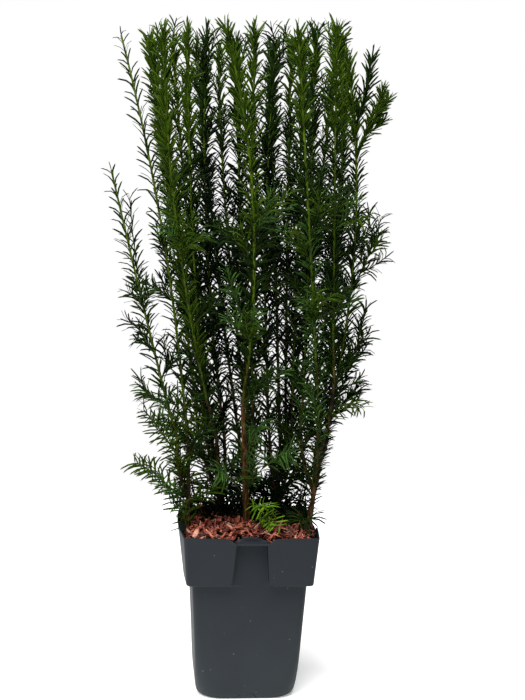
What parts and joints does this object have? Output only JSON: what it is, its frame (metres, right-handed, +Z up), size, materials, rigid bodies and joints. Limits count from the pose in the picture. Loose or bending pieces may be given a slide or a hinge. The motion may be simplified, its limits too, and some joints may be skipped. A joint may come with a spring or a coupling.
{
  "type": "potted groenland yew",
  "caption": "Many-stemmed evergreen yew with upright needle-clad leaders clipped level, growing in a square nursery pot filled with soil and bark chips.",
  "frame": {"origin": "centre of the pot's flat underside", "axes": "+Z up along the plant, -Y to the side of the pot that the picture shows, +X to its right"},
  "size_m": [0.5246, 0.3637, 1.2106],
  "materials": {
    "pot": "matte",
    "bark_chips": "matte",
    "bark": "matte",
    "foliage": "satin",
    "fresh_foliage": "satin"
  },
  "bodies": {
    "root": {"pot": "pot", "soil_and_bark_chips": "bark_chips", "trunk_centre": "bark", "trunk_right": "bark", "trunk_left": "bark", "trunk_mid_left": "bark", "trunk_back": "bark", "trunk_back_right": "bark", "bough_low_left": "bark", "bough_left": "bark", "bough_inner_left": "bark", "bough_mid_left": "bark", "bough_centre": "bark", "bough_mid_right": "bark", "bough_inner_right": "bark", "bough_right": "bark", "bough_far_right": "bark", "bough_outer_right": "bark", "bough_back_inner_right": "bark", "bough_back_outer_right": "bark", "foliage_outer_left": "foliage", "foliage_low_left": "foliage", "foliage_left": "foliage", "foliage_front_left": "foliage", "foliage_inner_left": "foliage", "foliage_mid_left": "foliage", "foliage_front_centre": "foliage", "foliage_centre": "foliage", "foliage_mid_right": "foliage", "foliage_front_right": "foliage", "foliage_inner_right": "foliage", "foliage_right": "foliage", "foliage_far_right": "foliage", "foliage_outer_right": "foliage", "foliage_back_outer_left": "foliage", "foliage_back_left": "foliage", "foliage_rear_left": "foliage", "foliage_back_centre": "foliage", "foliage_rear_centre": "foliage", "foliage_back_mid_right": "foliage", "foliage_back_inner_right": "foliage", "foliage_rear_right": "foliage", "foliage_back_right": "foliage", "foliage_back_outer_right": "foliage", "spray_low_right": "foliage", "spray_lowest_right": "foliage", "spray_back_low_right": "foliage", "spray_left_upper": "foliage", "spray_left_lower": "foliage", "spray_left_foot": "foliage", "spray_back_low_left": "foliage", "spray_fresh_centre": "fresh_foliage", "spray_fresh_front": "fresh_foliage", "spray_front_centre_low": "foliage", "spray_front_right_low": "foliage", "spray_front_left_low": "foliage", "spray_rear_low_left": "foliage", "spray_rear_low": "foliage", "spray_rear_low_right": "foliage"}
  },
  "joints": []
}
